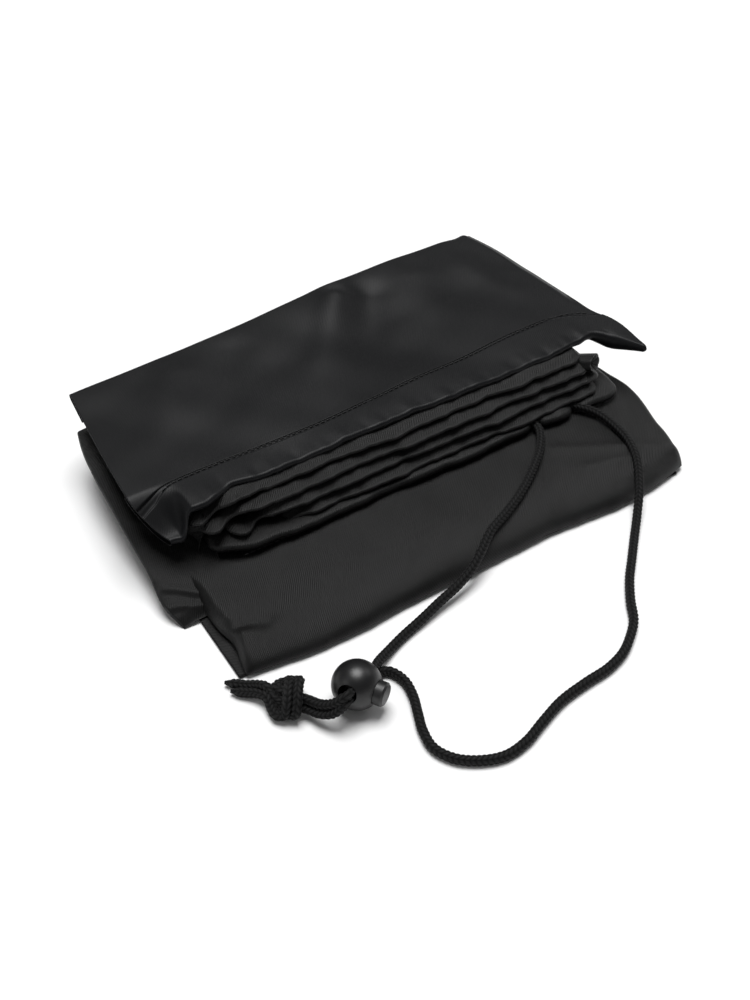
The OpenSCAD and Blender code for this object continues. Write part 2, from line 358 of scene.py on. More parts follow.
def crease(x, y, start, end, width, fade=0.0):
    """A hump of unit height along the line from start to end, which may fade towards its end"""
    s, e = np.array(start, float), np.array(end, float)
    run = e - s
    t = np.clip(((x - s[0]) * run[0] + (y - s[1]) * run[1]) / (run @ run), 0, 1)
    away = np.hypot(x - s[0] - t * run[0], y - s[1] - t * run[1])
    return np.exp(-(away / width) ** 2) * (1 - fade * ease(t))


def through(x, knots):
    """A value at x from a few (x, value) knots, eased from one knot to the next"""
    xs = np.array([k[0] for k in knots], float)
    vs = np.array([k[1] for k in knots], float)
    x = np.clip(x, xs[0], xs[-1])
    i = np.clip(np.searchsorted(xs, x, side="right") - 1, 0, len(xs) - 2)
    t = (x - xs[i]) / (xs[i + 1] - xs[i])
    slopes = np.gradient(vs, xs)
    span = xs[i + 1] - xs[i]
    return ((1 + 2 * t) * (1 - t) ** 2 * vs[i] + t * (1 - t) ** 2 * span * slopes[i]
            + t * t * (3 - 2 * t) * vs[i + 1] + t * t * (t - 1) * span * slopes[i + 1])


def link_mesh(name, verts, faces, attributes, finish, body):
    """A smooth-shaded mesh object, in metres, that rides on a body"""
    mesh = bpy.data.meshes.new(name)
    mesh.from_pydata((np.asarray(verts) * MM).tolist(), [], [list(map(int, f)) for f in faces])
    for key, values in attributes.items():
        values = np.asarray(values, np.float32)
        kind = "FLOAT_VECTOR" if values.ndim == 2 else "FLOAT"
        field = "vector" if values.ndim == 2 else "value"
        mesh.attributes.new(key, kind, "POINT").data.foreach_set(field, values.ravel())
    mesh.polygons.foreach_set("use_smooth", [True] * len(mesh.polygons))
    mesh.materials.append(material(finish))
    mesh.update()
    piece = bpy.data.objects.new(name, mesh)
    bpy.context.scene.collection.objects.link(piece)
    if body:
        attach(piece, body)
    return piece


def grid_faces(rows, columns, offset, flip):
    """The quads of a grid of points, numbered from offset"""
    i, j = np.meshgrid(np.arange(rows - 1), np.arange(columns - 1), indexing="ij")
    a = (i * columns + j).ravel() + offset
    quads = np.stack([a, a + columns, a + columns + 1, a + 1], 1)
    return quads[:, ::-1] if flip else quads


def tube_faces(rows, sides):
    """The quads of a tube of rings of points"""
    i, j = np.meshgrid(np.arange(rows - 1), np.arange(sides), indexing="ij")
    a, b = (i * sides + j).ravel(), (i * sides + (j + 1) % sides).ravel()
    return np.stack([a, b, b + sides, a + sides], 1).tolist()


def run_along(path):
    """The distance along a path at each of its points"""
    return np.concatenate([[0], np.cumsum(np.linalg.norm(np.diff(path, axis=0), axis=1))])


def round_off(distance, radius):
    """From 0 at an edge to 1 at a radius from it, as a quarter circle"""
    return np.sqrt(np.clip(1 - np.clip(1 - distance / radius, 0, 1) ** 2, 0, 1))


def normals_of(grid):
    """The unit normal at each point of a grid"""
    du = np.gradient(grid, axis=0)
    dv = np.gradient(grid, axis=1)
    n = np.cross(du, dv)
    return n / np.maximum(np.linalg.norm(n, axis=2, keepdims=True), 1e-9)


def cloth_sheet(name, grid, finish, painted_light, nodes, flip=False):
    """A sheet of cloth with real thickness from a grid in millimetres, with its flat size and its area"""
    rows, columns = grid.shape[:2]
    thick = bpy.context.scene.bag_cloth.thickness / MM
    n = normals_of(grid) * (-1 if flip else 1)
    outer, inner = grid + n * thick / 2, grid - n * thick / 2
    du = np.linalg.norm(np.diff(grid, axis=0), axis=2).mean(1)
    dv = np.linalg.norm(np.diff(grid, axis=1), axis=2).mean(0)
    u = np.concatenate([[0], np.cumsum(du)])
    v = np.concatenate([[0], np.cumsum(dv)])
    flat = np.stack([*np.meshgrid(u, v, indexing="ij"), np.zeros((rows, columns))], 2) * MM
    count = rows * columns
    faces = [grid_faces(rows, columns, 0, flip), grid_faces(rows, columns, count, not flip)]
    index = np.arange(count).reshape(rows, columns)
    rim = np.concatenate([index[0, :-1], index[:-1, -1], index[-1, :0:-1], index[:0:-1, 0]])
    nxt = np.roll(rim, -1)
    wall = np.stack([rim, nxt, nxt + count, rim + count], 1)
    faces.append(wall if flip else wall[:, ::-1])
    # The share array holds, from 0 to 1, how much painted highlight the cloth material lays on each point
    painted_light = np.clip(painted_light, 0, 1)
    piece = link_mesh(
        name, np.concatenate([outer.reshape(-1, 3), inner.reshape(-1, 3)]), np.concatenate(faces),
        {"cloth": np.tile(flat.reshape(-1, 3), (2, 1)), "painted_light": np.tile(painted_light.ravel(), 2)},
        finish, PACKET)
    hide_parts(*nodes)
    cells = np.cross(np.diff(grid, axis=0)[:, :-1], np.diff(grid, axis=1)[:-1])
    area = np.linalg.norm(cells, axis=2).sum()
    return piece, (u[-1] * MM, v[-1] * MM), area * MM * MM


# ---------------------------------------------------------------- the cord

LOCK_POS = np.array([-86.0, -118.5, 10.0])
LOCK_TURN = math.radians(-57)
HOLE_TILT = math.radians(24)
STRAND_X, STRAND_Z, STRAND_END = 1.5, 1.65, 10.0


def lock_axes():
    """The lock's own X (plunger), Y (along the strands) and Z axes"""
    c, s = math.cos(LOCK_TURN), math.sin(LOCK_TURN)
    ct, st = math.cos(HOLE_TILT), math.sin(HOLE_TILT)
    return np.array([[c, s, 0], [-s * ct, c * ct, -st], [-s * st, c * st, ct]])


def lock_point(x, y, z):
    """A point in the lock's own axes, in the frame's"""
    return LOCK_POS + np.array([x, y, z]) @ lock_axes()


def lock_end(side, level):
    """Where a free strand meets its squeezed run in the lock"""
    return lock_point(STRAND_X, side * (STRAND_END + 0.1), level * STRAND_Z)


def lock_lead(side, level):
    """Where a free strand begins to bend, straight out from the lock"""
    return lock_point(STRAND_X, side * (STRAND_END + 1.9), level * STRAND_Z)


SHORT_ROUTE = [
    (61, -34.1, 16.2), (61, -40, 15.8), (54, -50, 15.4), (41, -61, 15.1), (29, -69, 14.5), (17, -75, 13.7),
    (5, -80, 12.7), (-4, -86, 10.9), (-12, -90.5, 8.3), (-21, -93.5, 6), (-32, -96, 4.2), (-43, -99, 2.8),
    (-54, -102, 2.1), (-63, -105.5, 2.4), (-70.5, -109.5, 4.4), lock_lead(1, 1), lock_end(1, 1)]
LONG_ROUTE = [
    (84, -34.1, 16.2), (88, -38, 15.9), (92, -45, 15.4), (93, -55, 15.3), (92, -67, 14.6), (88, -78, 13.1),
    (80, -90, 9), (71, -100, 3.8), (62, -109, 2.1), (53, -118, 2.1), (45, -126, 2.1), (37, -136, 2.1),
    (31, -145, 2.1), (24, -151, 2.1), (16, -156, 2.1), (6, -159, 2.1), (-6, -160, 2.1), (-20, -162, 2.1),
    (-32, -166, 2.1), (-43, -170, 2.1), (-53, -171, 2.1), (-62, -168, 2.1), (-70, -162, 2.1),
    (-74, -154, 2.1), (-73, -145, 2.1), (-70, -137, 2.1), (-67, -129, 2.1), (-66, -121, 2.1),
    (-68.5, -114.5, 2.1), (-73, -112.6, 2.4), lock_lead(1, -1), lock_end(1, -1)]
SHORT_CHANNEL = [(-93, -26, 16.2), (41, -26, 16.2), (57, -27.5, 16.2), (61, -31.1, 16.2), (61, -34.1, 16.2)]
LONG_CHANNEL = [(101, -26, 16.2), (95, -26, 16.2), (88, -27.5, 16.2), (84, -31.1, 16.2), (84, -34.1, 16.2)]
STRANDS = {
    "short_strand": (SHORT_ROUTE, SHORT_CHANNEL, "cord_in_channel_left",
                     ("upper_strand_in_lock", "lock_body", "lock_plunger", "spring")),
    "long_strand": (LONG_ROUTE, LONG_CHANNEL, "cord_in_channel_right", ("lower_strand_in_lock",))}
CORD_STEP = 0.26
KNOT_POS = np.array([-110.0, -107.0, 5.6])


def smooth_route(points, step):
    """Points about step millimetres apart on one smooth curve through the route"""
    p = np.array(points, float)
    length = np.concatenate([[0], np.cumsum(np.sqrt(np.linalg.norm(np.diff(p, axis=0), axis=1)))])
    dense = np.linspace(0, length[-1], 60 * len(p))
    curve = np.stack([through(dense, list(zip(length, p[:, k]))) for k in range(3)], 1)
    run = run_along(curve)
    count = max(8, int(round(run[-1] / step)))
    at = np.linspace(0, run[-1], count + 1)
    return np.stack([np.interp(at, run, curve[:, k]) for k in range(3)], 1), run[-1]


def frames_along(path):
    """Two directions across the path at each point that turn as little as possible"""
    t = np.gradient(path, axis=0)
    t /= np.linalg.norm(t, axis=1, keepdims=True)
    u = np.zeros_like(t)
    start = np.cross(t[0], [0, 0, 1.0])
    u[0] = start / np.linalg.norm(start)
    for i in range(1, len(t)):
        w = u[i - 1] - (u[i - 1] @ t[i]) * t[i]
        u[i] = w / np.linalg.norm(w)
    return u, np.cross(t, u)


def braid_relief(around, along, carriers, stitch):
    """Height, 0 to 1, of a braid whose yarns lie in columns of slanted stitches that meet in V shapes"""
    column = around * carriers / (2 * np.pi)
    across = column - np.floor(column)
    slant = np.where(np.floor(column) % 2 == 0, across, 1 - across)
    step = along / stitch + 0.85 * slant
    share = step - np.floor(step)
    crown = np.clip(1 - (2 * share - 1) ** 2, 0, 1) ** 0.6
    return crown * (0.35 + 0.65 * np.sin(np.pi * across) ** 0.8)


def braided(name, path, diameters, body):
    """A braided cord along a path in millimetres, with one diameter for each point"""
    cord = bpy.context.scene.bag_cord
    sides = cord.carriers * 9
    u, v = frames_along(path)
    run = run_along(path)
    angle = np.linspace(0, 2 * np.pi, sides, endpoint=False)
    around, along = np.meshgrid(angle, run)
    relief = braid_relief(around, along, cord.carriers, cord.stitch / MM)
    radius = np.asarray(diameters)[:, None] / 2 * (0.72 + 0.29 * relief)
    ring = path[:, None] + radius[..., None] * (
        np.cos(around)[..., None] * u[:, None] + np.sin(around)[..., None] * v[:, None])
    rows = len(path)
    verts = np.concatenate([ring.reshape(-1, 3), path[[0, -1]]])
    faces = tube_faces(rows, sides)
    last = (rows - 1) * sides
    for k in range(sides):
        faces.append([rows * sides, (k + 1) % sides, k])
        faces.append([rows * sides + 1, last + k, last + (k + 1) % sides])
    flat = np.stack([along, around * cord.diameter / MM / 2, np.zeros_like(along)], 2).reshape(-1, 3) * MM
    flat = np.concatenate([flat, flat[[0, -1]]])
    # The braid's relief is stored as the share of painted light: painted highlight on the crowns, painted
    # shade in the gaps, a middling share at the end caps
    painted_light = np.concatenate([relief.ravel(), [0.3, 0.3]])
    return link_mesh(name, verts, faces, {"cloth": flat, "painted_light": painted_light}, braided_yarn, body)


class BAG_OT_camera(bpy.types.Operator):
    """Add the camera at the viewing angle of the folded bag"""
    bl_idname = "bag.camera"
    bl_label = "Camera"

    def execute(self, context):
        stage = context.scene.bag_stage
        camera = bpy.data.cameras.new("camera")
        camera.lens = 45.2
        camera.sensor_width = 36.0
        camera.clip_start = 0.01
        holder = bpy.data.objects.new("camera", camera)
        context.scene.collection.objects.link(holder)
        a, e = stage.azimuth, stage.elevation
        back = Vector((math.sin(a) * math.cos(e), -math.cos(a) * math.cos(e), math.sin(e)))
        holder.location = Vector((-20 * MM, -26 * MM, 0)) + back * stage.distance
        holder.rotation_mode = "QUATERNION"
        holder.rotation_quaternion = (-back).to_track_quat("-Z", "Y")
        context.scene.camera = holder
        return {"FINISHED"}


SPRING_START, SPRING_STOP = -8.25, -3.35
SPRING_TURNS = 5
SPRING_RADIUS = 2.45
WIRE_DIAMETER = 0.5


def lock_spring():
    """The plunger's spring: a helix of wire whose end turns rise less than the others"""
    t = np.linspace(0, 1, 260)
    rise = 0.06 * ease(t * 6) + 0.88 * np.clip((t - 0.12) / 0.76, 0, 1) + 0.06 * ease((t - 0.84) * 6)
    lift = SPRING_START + (SPRING_STOP - SPRING_START) * rise
    turn = 2 * np.pi * SPRING_TURNS * t
    path = np.array([lock_point(x, SPRING_RADIUS * math.cos(k), SPRING_RADIUS * math.sin(k))
                     for x, k in zip(lift, turn)])
    u, v = frames_along(path)
    sides = 12
    k = np.linspace(0, 2 * np.pi, sides, endpoint=False)[None, :, None]
    tube = path[:, None] + WIRE_DIAMETER / 2 * (np.cos(k) * u[:, None] + np.sin(k) * v[:, None])
    faces = tube_faces(len(path), sides)
    faces += [list(reversed(range(sides))), [(len(path) - 1) * sides + n for n in range(sides)]]
    return link_mesh("spring", tube.reshape(-1, 3), faces, {}, drawn_wire, LOCK)


class BAG_OT_lock(bpy.types.Operator):
    """Finish the lock's ball and plunger, and add its spring and the strands squeezed inside it"""
    bl_idname = "bag.lock"
    bl_label = "Cord lock"

    def execute(self, context):
        for node, finish, slot in (("lock_body", ball_plastic, "lock_plastic"),
                                   ("lock_plunger", plunger_plastic, "plunger_plastic")):
            shell = bpy.data.objects[node]
            shell.data.materials.clear()
            shell.data.materials.append(material(finish))

        squeezed = context.scene.bag_cord.squeezed / MM
        for z, side in ((STRAND_Z, "upper"), (-STRAND_Z, "lower")):
            y = np.linspace(STRAND_END + 1, -STRAND_END - 1, 80)
            path = np.array([lock_point(STRAND_X, k, z) for k in y])
            strand = braided(f"{side}_strand_in_lock", path, np.full(len(path), squeezed), LOCK)
            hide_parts("strands_in_lock")

        spring = lock_spring()
        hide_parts("lock_spring")
        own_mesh(spring)
        return {"FINISHED"}


class BAG_OT_strands(bpy.types.Operator):
    """Add the two free strands of the drawstring, from the hem to the lock"""
    bl_idname = "bag.strands"
    bl_label = "Strands"

    def execute(self, context):
        cord = context.scene.bag_cord
        wide, squeezed = cord.diameter / MM, cord.squeezed / MM
        for name, (route, channel, channel_node, on_it) in STRANDS.items():
            path, length = smooth_route(route, CORD_STEP)
            run = np.linspace(0, length, len(path))
            widths = wide + (squeezed - wide) * ease((run - length + 7) / 7)
            piece = braided(name + "_cord", path, widths, None)
            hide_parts(name)
            [k * MM for k in route[0]]
            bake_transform(piece)
            path, length = smooth_route(channel, CORD_STEP)
            inner = braided(name + "_in_channel", path, np.full(len(path), wide), PACKET)
            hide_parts(channel_node)
        return {"FINISHED"}


STRAND_GAP = 1.88
KNOT_AXES = np.array([[0.848, -0.530, 0], [0.530, 0.848, 0], [0, 0, 1]])
# The doubled cord's centre line through the overhand knot (along, behind, up), and how its strands lie apart
KNOT_LINE = [
    (17.8, -8.2, 9.8, 0, 0.55, 0.85), (12.8, -6.4, 7.0, 0, 0.6, 0.8), (8.0, -3.4, 5.8, 0, 0.6, 0.8),
    (2.0, -0.9, 5.4, 0, 0.8, 0.6), (-3.8, 1.6, 5.8, 0, 0.8, 0.6), (-5.4, 5.6, 5.2, 0.7, 0.7, 0),
    (-2.0, 8.0, 4.2, 0.8, 0.6, 0), (1.9, 7.4, 6.8, 1, 0, 0), (2.4, 3.6, 10.8, 1, 0, 0),
    (2.2, -1.4, 11.2, 1, 0, 0), (1.9, -5.9, 8.0, 1, 0, 0), (0.8, -7.0, 4.0, 1, 0, 0),
    (-2.8, -5.0, 2.9, 0.7, 0.7, 0), (-5.8, -1.2, 3.6, 0.3, 0.9, 0.3), (-8.4, 3.0, 5.2, 0, 0.9, 0.4),
    (-12.4, 5.6, 3.8, 0, 1, 0.1), (-17.0, 6.8, 2.4, 0, 1, 0), (-21.5, 7.6, 2.1, 0, 1, 0)]


def knot_route(side):
    """One strand of the doubled cord through the knot and into its tail, in millimetres"""
    points = []
    for *place, sx, sy, sz in KNOT_LINE:
        apart = np.array([sx, sy, sz])
        apart = apart / np.linalg.norm(apart) * STRAND_GAP * side
        local = np.array(place) + apart
        points.append(np.array([KNOT_POS[0], KNOT_POS[1], 0]) + local @ KNOT_AXES)
    points.append(points[-1] + (points[-1] - points[-2]) * (0.9 if side > 0 else 0.3))
    return [p.tolist() for p in points]


class BAG_OT_knot(bpy.types.Operator):
    """Add the two cord ends: out of the lock, through one overhand knot, and into their cut tails"""
    bl_idname = "bag.knot"
    bl_label = "Knot and tails"

    def execute(self, context):
        cord = context.scene.bag_cord
        wide, squeezed = cord.diameter / MM, cord.squeezed / MM
        for name, side, nodes in (("upper_end", 1, ("upper_twin", "knot", "long_tail")),
                                  ("lower_end", -1, ("lower_twin", "short_tail"))):
            route = [lock_end(-1, side), lock_lead(-1, side)] + knot_route(side)
            path, length = smooth_route(route, CORD_STEP)
            path[:, 2] = np.maximum(path[:, 2], wide / 2)
            run = run_along(path)
            length = run[-1]
            widths = squeezed + (wide - squeezed) * ease(run / 6)
            widths = widths * (1 - 0.6 * ease((run - length + 4.0) / 4.0))
            piece = braided(name + "_cord", path, widths, None)
            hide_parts(*nodes)
            [k * MM for k in route[0]]
            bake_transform(piece)
        return {"FINISHED"}


# ---------------------------------------------------------------- folded cloth

LEFT_EDGE = [(-30, -121), (-20, -124), (-13, -127), (0, -127), (18, -126), (42, -124), (74, -121)]
RIGHT_EDGE = [(-40, 124), (-8, 123), (-6, 122), (24, 120), (67, 115), (88, 109)]
HEM_FRONT = [(-125, -20), (-101, -24), (-86, -19.5), (-78, -20.5), (-55, -21), (-30, -20.5), (-3, -20),
             (24, -20.5), (52, -20), (80, -19.5), (100, -18), (109, -17.5), (115, -24), (124, -38)]
HEM_SEAM = [(-125, -10), (-108, -6.5), (-31, -5), (8, -2), (49, 0.5), (86, 3), (109, 1.5), (123, -6)]
BACK_EDGE = [(-125, 73.5), (-60, 77), (0, 80.5), (60, 85), (112, 88.5)]
CREST_Y = (-25.5, -29.8, -33.0, -36.2)
CREST_Z = (33.4, 29.0, 24.6, 20.2)


def spaced(start, end, count, pull=0.0):
    """Numbers from start to end, closer together at both ends as pull grows"""
    t = np.linspace(0, 1, count)
    return start + (end - start) * (t - pull * np.sin(2 * np.pi * t) / (2 * np.pi))


def top_height(x, y):
    """Height of the upper face: broad soft waves, one dark valley and a bright ridge beside it"""
    z = 37.2 + 0.55 * wave(x + 0.9 * y, 1.3, (120.0, 63.0, 37.0))
    z = z + 0.3 * wave(y - 0.4 * x, 2.1, (90.0, 41.0, 23.0))
    z = z + 2.7 * crease(x, y, (18, 70), (-36, 4), 9, 1) - 2.2 * crease(x, y, (34, 66), (-2, 2), 10, 0.8)
    z = z + 1.2 * crease(x, y, (62, 66), (40, 4), 12, 1) - 1.3 * crease(x, y, (-44, 62), (-92, -6), 12, 0.6)
    z = z + 1.1 * crease(x, y, (-76, 62), (-112, 0), 10, 0.9)
    z = z + 0.8 * crease(x, y, (92, 62), (104, 8), 9, 0.8)
    z = z + 1.7 * ease((y - 38 - 0.06 * x) / 38) * ease((x + 84) / 70)
    z = z + 1.8 * ease((y - 40 - 0.06 * x) / 44) * bump(x, 22, 50)
    return z


def hang(x, y):
    """Where a point of the upper sheet lies once its left corner hangs and its right one points out"""
    corner = ease((-106 - x) / 14) * ease((-4 - y) / 14)
    ear = ease((x - 102) / 18) * ease((-8 - y) / 22)
    z = top_height(x, y) - 11.5 * corner - 0.6 * ear
    return x + 5.5 * corner, y - 6.0 * corner, z


class BAG_OT_top(bpy.types.Operator):
    """Add the upper sheet with its hem, whose left corner hangs down and whose right corner sticks out"""
    bl_idname = "bag.top"
    bl_label = "Upper sheet"

    def execute(self, context):
        t = spaced(0, 1, 230, 0.5)
        rows = []
        for part, count in (("under_back", 6), ("back", 9), ("top", 110), ("seam", 8), ("hem", 34),
                            ("front", 12), ("under", 16)):
            rows += [(part, k) for k in np.linspace(0, 1, count)]
        nominal = -125 + 250 * t
        radius = 1.5 + 2.3 * bump(nominal, 115, 6.5)
        grid = np.zeros((len(rows), len(t), 3))
        painted_light = np.zeros((len(rows), len(t)))
        back, seam, front = (through(nominal, line) for line in (BACK_EDGE, HEM_SEAM, HEM_FRONT))
        front = front + 0.5 * wave(nominal, 4.2, (31.0, 13.0, 6.1)) * (1 - ease((nominal - 96) / 12))
        for i, (part, k) in enumerate(rows):
            if part == "under_back":
                y, drop = back - 18 + (18 - radius) * k, 2 * radius + 0 * k
            elif part == "back":
                y = back - radius + radius * math.sin(math.pi * k)
                drop = radius * (1 + math.cos(math.pi * k))
            elif part == "top":
                y, drop = back - radius + (seam + 0.9 - back + radius) * k, 0
            elif part == "seam":
                y, drop = seam + 0.9 - 1.8 * k, -0.4 * ease(k) + 0.3 * bump(k, 0.75, 0.25)
            elif part == "hem":
                y, drop = seam - 0.9 + (front + radius - seam + 0.9) * k, -0.4
            elif part == "front":
                y = front + radius - radius * math.sin(math.pi * k)
                drop = -0.4 + radius * (1 - math.cos(math.pi * k))
            else:
                y, drop = front + radius + 17 * k, 2 * radius - 0.4
            left, right = through(y, LEFT_EDGE), through(y, RIGHT_EDGE)
            x = left + (right - left) * t
            edge = ease((6 - (right - x)) / 6) ** 2 * ease((y - 4) / 20)
            ripple = 0.35 * wave(x, 7.3, (17.0, 9.0, 5.0)) * bump(y, front + 2, 5)
            x, y, z = hang(x, y)
            grid[i] = np.stack([x, y, z - drop - 2.2 * edge + ripple], 1)
            # Painted highlight on the hem's rounded front and just behind it
            if part == "front":
                painted_light[i] = 0.6 * bump(k, 0.3, 0.3)
            if part == "hem":
                painted_light[i] = 0.35 * bump(k, 1.0, 0.08)
        piece, flat, area = cloth_sheet(
            "upper_sheet", grid, cloth_smooth, painted_light,
            ("top_panel", "top_hem", "top_hem_ear", "second_panel"))
        return {"FINISHED"}


ROUND_END = 3.0


def leaf_grid(x0, x1, front, height, radius, depth=72.0, corner=7.0):
    """A folded leaf of cloth: its top comes forward, rolls under along the front, and closes at both ends"""
    x = spaced(x0, x1, 190, 0.75)
    d = np.minimum(x - x0, x1 - x)
    turn = np.clip(1 - d / corner, 0, 1)
    yf = front(x) + corner * 0.8 * (1 - np.sqrt(np.clip(1 - turn ** 2, 0, 1)))
    close = round_off(d, ROUND_END)
    yb = depth + 0.035 * x
    floor = height(x, yf + radius, yf) - 2 * radius
    grid, painted_light = [], []
    for k in np.linspace(0, 1, 60):
        y = yb + (yf + radius - yb) * (1 - (1 - k) ** 1.9)
        top = height(x, y, yf)
        grid.append(np.stack([x, y, (top + floor) / 2 + (top - floor) / 2 * close], 1))
        # Painted highlight where the top meets the front roll, and on the closed ends
        painted_light.append(0.5 * bump(k, 1.0, 0.03) + 0.3 * (1 - close))
    for k in np.linspace(0, 1, 16)[1:]:
        y = yf + radius - radius * np.sin(np.pi * k) * (0.3 + 0.7 * close)
        grid.append(np.stack([x, y, floor + radius + radius * close * np.cos(np.pi * k)], 1))
        # Painted highlight along the crest of the front roll
        painted_light.append(0.9 * bump(k, 0.28, 0.22) + 0 * x)
    for k in np.linspace(0, 1, 26)[1:]:
        y = yf + radius + (yb - yf - radius) * k ** 1.6
        top = height(x, y, yf)
        grid.append(np.stack([x, y, (top + floor) / 2 - (top - floor) / 2 * close], 1))
        painted_light.append(0 * x)
    return np.array(grid), np.array(painted_light)


class BAG_OT_folds(bpy.types.Operator):
    """Add the accordion of folded leaves between the two hems"""
    bl_idname = "bag.folds"
    bl_label = "Accordion folds"

    def execute(self, context):
        starts = (-110.0, -105.0, -94.0, -80.0)
        ends = (97.0, 99.0, 104.0, 101.0)
        for i, (crest_y, crest_z) in enumerate(zip(CREST_Y, CREST_Z)):
            seed = 3.1 + 2.7 * i

            def front(x, seed=seed, y=crest_y, start=starts[i]):
                line = y + 1.1 * wave(x, seed, (83.0, 37.0, 14.0))
                line = line + 0.5 * wave(x, seed + 1, (21.0, 9.0, 5.3))
                return line + 2.0 * bump(x, start + 14, 5) - 2.2 * bump(x, start + 5, 4)

            def height(x, y, yf, seed=seed, z=crest_z, start=starts[i], i=i):
                rise = 1.7 * ease((y - yf) / 6)
                ripple = 0.45 * wave(x + 0.5 * y, 4.1, (57.0, 23.0, 11.0))
                ripple = ripple + 0.25 * wave(x, seed, (31.0, 13.0, 7.0))
                sag = -3.4 * ease((start + 24 - x) / 24) - 1.2 * bump(x, start + 9, 4)
                sag = sag - (1.6 if i == 0 else 0.4) * ease((y - yf - 14) / 22)
                fold = 0.9 * crease(x, y, (start + 12, -30), (start + 34, -24), 2.4)
                return z + rise + ripple + sag + fold

            grid, painted_light = leaf_grid(starts[i], ends[i], front, height, 0.85, depth=74.0 - i)
            piece, flat, area = cloth_sheet(f"fold_{i + 1}", grid, cloth_twill, painted_light,
                                            [f"accordion_fold_{i + 1}"])
        return {"FINISHED"}


class BAG_OT_lower_hem(bpy.types.Operator):
    """Add the lower hem, whose channel lets the two strands out"""
    bl_idname = "bag.lower_hem"
    bl_label = "Lower hem"

    def execute(self, context):
        def front(x):
            lip = -1.6 * bump(x, 72, 6) + 4.0 * bump(x, 61, 2.7) + 4.0 * bump(x, 84, 2.7)
            return -39.0 + 1.0 * wave(x, 9.1, (71.0, 29.0, 12.0)) + lip + 5.0 * ease((-84 - x) / 14)

        def height(x, y, yf):
            z = 17.6 + 1.4 * ease((y - yf) / 10) + 0.4 * wave(x + 0.4 * y, 5.5, (43.0, 17.0, 8.0))
            return z + 1.2 * bump(x, 72, 7) - 1.0 * bump(x, 61, 3) - 1.0 * bump(x, 84, 3)

        grid, painted_light = leaf_grid(-103, 112, front, height, 1.9, corner=9.0)
        piece, flat, area = cloth_sheet("lower_hem_sheet", grid, cloth_twill, painted_light, ["lower_hem"])
        return {"FINISHED"}


PANEL_LEFT = [(-90, -117), (-85, -117), (-69, -114.5), (-61, -116),
              (-40, -117), (-29, -119), (20, -119), (74, -116)]
PANEL_RIGHT = [(-90, 106), (-84, 112), (-74, 114.5), (-63, 116.5),
               (-35, 123), (-19, 121), (20, 117), (74, 110)]
PANEL_FRONT = [(-117, -86), (-100, -88.8), (-28, -88.6), (37, -87.4), (98, -87.6), (111, -84)]


class BAG_OT_front_panel(bpy.types.Operator):
    """Add the broad front panel, which rolls down to the floor along its front"""
    bl_idname = "bag.front_panel"
    bl_label = "Front panel"

    def execute(self, context):
        t = spaced(0, 1, 220, 0.8)
        x_nominal = -117 + 228 * t
        front = through(x_nominal, PANEL_FRONT)
        front = front + 0.5 * wave(x_nominal, 2.9, (63.0, 27.0, 11.0))
        grid, painted_light = [], []
        stops = [("back", 0.0)]
        for part, count in (("back", 16), ("top", 80), ("roll", 40), ("under", 14)):
            stops += [(part, k) for k in np.linspace(0, 1, count)[1:]]
        for part, k in stops:
            if part == "back":
                y, share = 74 + 5 * math.sin(math.pi * k) + 0 * t, 0.5 - 0.5 * math.cos(math.pi * k)
            elif part == "top":
                y, share = 74 - 140 * k + 0 * t, 1.0
            elif part == "roll":
                a = math.pi * 0.5 * k
                y, share = -66 + (front + 66) * math.sin(a), math.cos(a)
            else:
                y, share = front + (70 - front) * k, 0.03 * k
            low = 2.2 if part != "under" else 2.2 - 1.9 * ease(k * 6)
            left, right = through(y, PANEL_LEFT), through(y, PANEL_RIGHT)
            x = left + (right - left) * t
            d = np.minimum(x - left, right - x)
            close = round_off(d, 4.2)
            soft = 0.5 * wave(x + 0.3 * y, 6.1, (97.0, 51.0, 23.0))
            soft = soft + 0.25 * wave(x - y, 1.9, (31.0, 17.0, 9.0))
            fan = 0.0
            for end in ((60, -52), (66, -70), (78, -82)):
                fan = fan + crease(x, y, (112, -80), end, 2.6)
            pucker = np.sin(y / 1.7) * bump(x, left + 3, 5) * bump(y, -66, 12)
            high = 10.6 - 2.2 * ease((-52 - x) / 55) * ease((-10 - y) / 25) + soft + 0.5 * fan
            high = high + 0.5 * pucker - 2.4 * crease(x, y, (-118, -64), (-100, -70), 5)
            z = low + share * high * (0.06 + 0.94 * close)
            grid.append(np.stack([x, y, np.maximum(z, 0.35)], 1))
            # Painted highlight towards the panel's rounded side edges
            painted_light.append(0.35 * (1 - close))
        piece, flat, area = cloth_sheet("front_sheet", np.array(grid), cloth_twill, np.array(painted_light),
                                        ("front_panel", "panel_return"))
        return {"FINISHED"}


